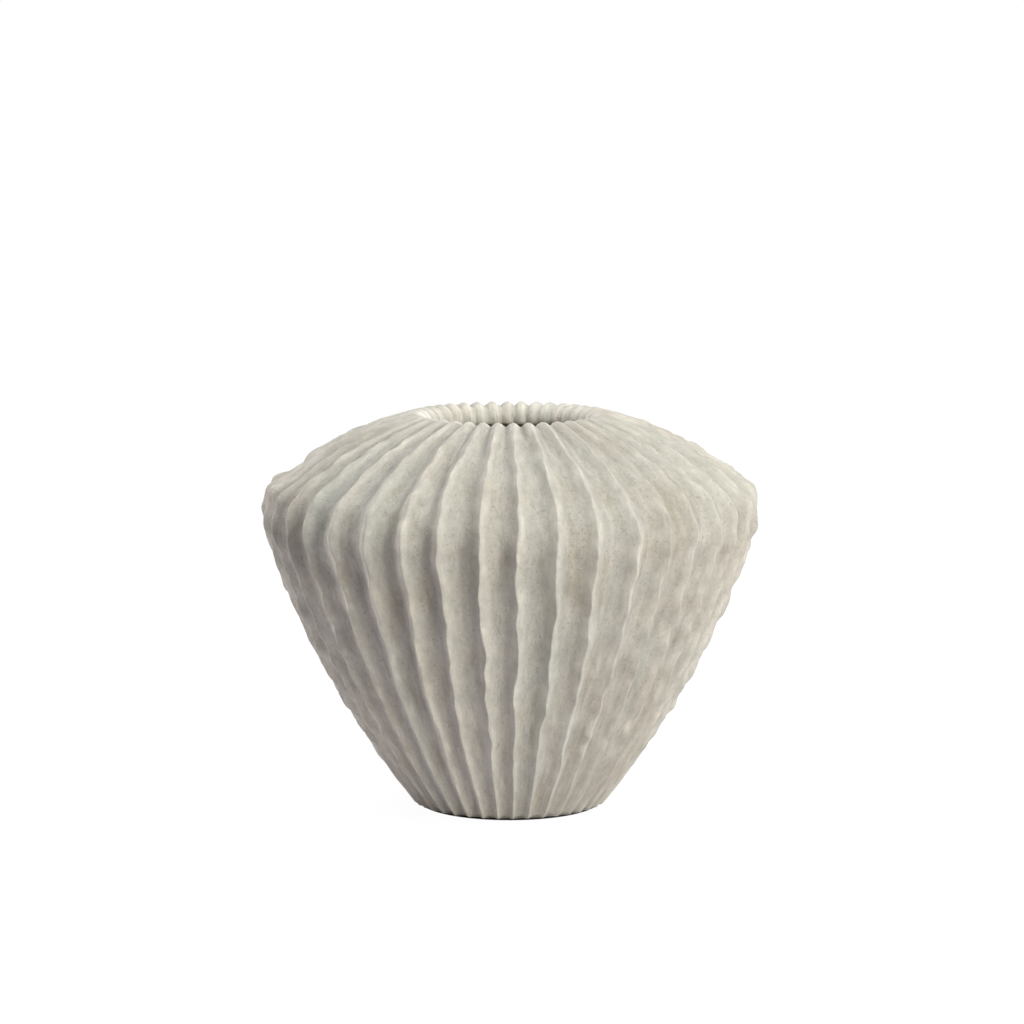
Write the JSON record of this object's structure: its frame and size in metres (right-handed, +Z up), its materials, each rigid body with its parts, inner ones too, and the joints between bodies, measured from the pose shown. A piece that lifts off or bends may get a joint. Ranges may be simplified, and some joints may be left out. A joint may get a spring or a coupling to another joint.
{
  "type": "vase",
  "caption": "Squat stoneware vase with vertical fluted ribs that run over a wide shoulder and roll into a round mouth, on a thin felt base pad.",
  "frame": {"origin": "on the vase's axis, in the plane of the felt pad's underside, where it rests on a table", "axes": "+Z up along the axis, -Y towards the viewer of the picture, a rib crest on each of X and Y"},
  "size_m": [0.29, 0.29, 0.2302],
  "materials": {
    "stoneware": "unglazed, matte and sandy, pale greige with fine specks and worn lighter crests",
    "felt": "dense charcoal felt"
  },
  "bodies": {
    "root": {"vase_body": "stoneware", "base_pad": "felt"}
  },
  "joints": []
}
